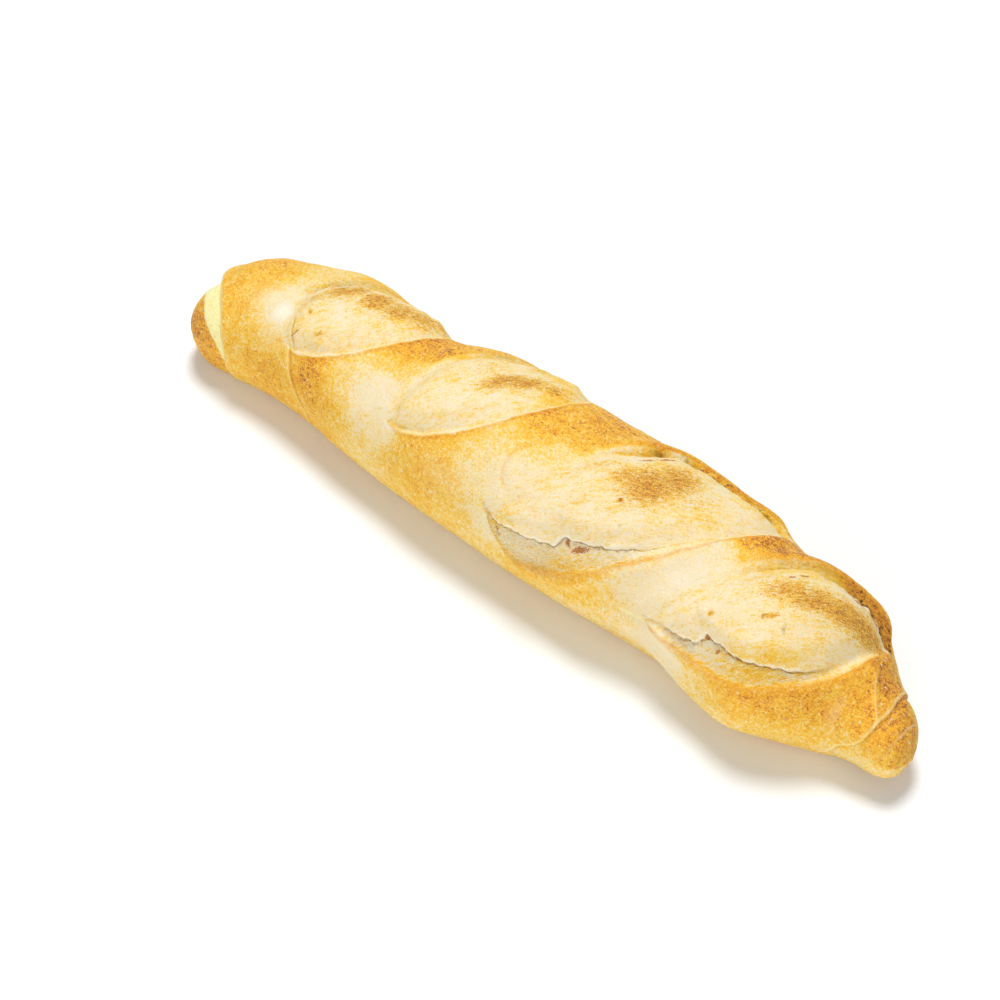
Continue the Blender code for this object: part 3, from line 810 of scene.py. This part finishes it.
    # relief too fine for the mesh
    crustRelief = 0.30 * blister + 0.25 * pimple + 0.30 * speckle + 0.20 * fine + 0.15 * mottle
    crumbRelief = 0.35 * hair + 0.25 * fine + 0.30 * fibre
    rugged = 0.6 + 1.0 * toast + 0.6 * strip + 0.8 * farStrip
    relief = crustRelief * (1 - opened) + crumbRelief * opened * rugged
    relief = relief - 0.8 * holeShadeDots - 0.5 * tearShadow + 0.3 * threads
    bump = sheet.make("ShaderNodeBump", None, {"Strength": look["bumpStrength"],
                      "Distance": look["bumpDepth"], "Height": relief}, "Normal")
    tree.links.new(bump.socket, shader.inputs["Normal"])
    return material


loafPiece = buildLoaf()
loafPiece.data.materials.append(breadMaterial("bread"))
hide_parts("baguette")
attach(loafPiece, "root")
print("loaf material done")

# floor, light and camera
studio = {
    "floorSize": 6.0, "floorShade": 0.93, "floorGlow": 0.05,
    "worldStrength": 0.30,
    "key": {"place": (-0.27, 0.40, 1.56), "size": 0.6, "power": 20.5, "shade": (1.0, 1.0, 1.0)},
    "fill": {"place": (0.55, -1.15, 0.52), "size": 0.9, "power": 8.0, "shade": (1.0, 0.95, 0.86)},
    "camera": {"azimuth": 39.5, "elevation": 48.0, "distance": 0.9, "lens": 101.5,
               "target": (0.004, -0.0015, 0.022), "shift": (-0.051, -0.0044)},
}


def addFloor():
    half = studio["floorSize"] / 2
    mesh = bpy.data.meshes.new("floor")
    corners = [(-half, -half, 0), (half, -half, 0), (half, half, 0), (-half, half, 0)]
    mesh.from_pydata(corners, [], [(0, 1, 2, 3)])
    floor = bpy.data.objects.new("floor", mesh)
    scene.collection.objects.link(floor)
    material = bpy.data.materials.new("paper")
    material.use_nodes = True
    shader = material.node_tree.nodes["Principled BSDF"]
    sheet = Wire(material.node_tree)
    here = sheet.make("ShaderNodeTexCoord", None, None, "Object")
    tone = sheet.make("ShaderNodeTexNoise", None, {"Vector": here, "Scale": 40.0, "Detail": 2.0}, "Fac")
    shade = studio["floorShade"]
    plain = sheet.make("ShaderNodeValToRGB", {"stops": [(0.3, (shade - 0.04, shade - 0.01, shade + 0.02)),
                       (0.7, (shade - 0.03, shade, shade + 0.03))]}, {"Fac": tone})
    material.node_tree.links.new(plain.socket, shader.inputs["Base Color"])
    shader.inputs["Roughness"].default_value = 0.9
    shader.inputs["Specular IOR Level"].default_value = 0.1
    shader.inputs["Emission Color"].default_value = (1.0, 1.0, 1.0, 1.0)
    shader.inputs["Emission Strength"].default_value = studio["floorGlow"]
    mesh.materials.append(material)


def addLight(name, row):
    light = bpy.data.lights.new(name, "AREA")
    light.shape, light.size, light.energy, light.color = "DISK", row["size"], row["power"], row["shade"]
    lamp = bpy.data.objects.new(name, light)
    lamp.location = row["place"]
    lamp.rotation_euler = (-Vector(row["place"])).to_track_quat("-Z", "Y").to_euler()
    scene.collection.objects.link(lamp)


def addCamera(row):
    azimuth, elevation = math.radians(row["azimuth"]), math.radians(row["elevation"])
    back = Vector((math.sin(azimuth) * math.cos(elevation), -math.cos(azimuth) * math.cos(elevation),
                   math.sin(elevation)))
    data = bpy.data.cameras.new("camera")
    data.shift_x, data.shift_y = row["shift"]
    data.lens, data.sensor_width = row["lens"], 36.0
    data.clip_start, data.clip_end = 0.01, 50.0
    camera = bpy.data.objects.new("camera", data)
    camera.location = Vector(row["target"]) + back * row["distance"]
    camera.rotation_euler = back.to_track_quat("Z", "Y").to_euler()
    scene.collection.objects.link(camera)
    scene.camera = camera


addFloor()
addLight("key", studio["key"])
addLight("fill", studio["fill"])
addCamera(studio["camera"])
world = bpy.data.worlds.new("studio")
world.use_nodes = True
sky = world.node_tree.nodes["Background"]
sky.inputs["Color"].default_value = (1.0, 1.0, 1.0, 1.0)
sky.inputs["Strength"].default_value = studio["worldStrength"]
scene.world = world
print("stage done")
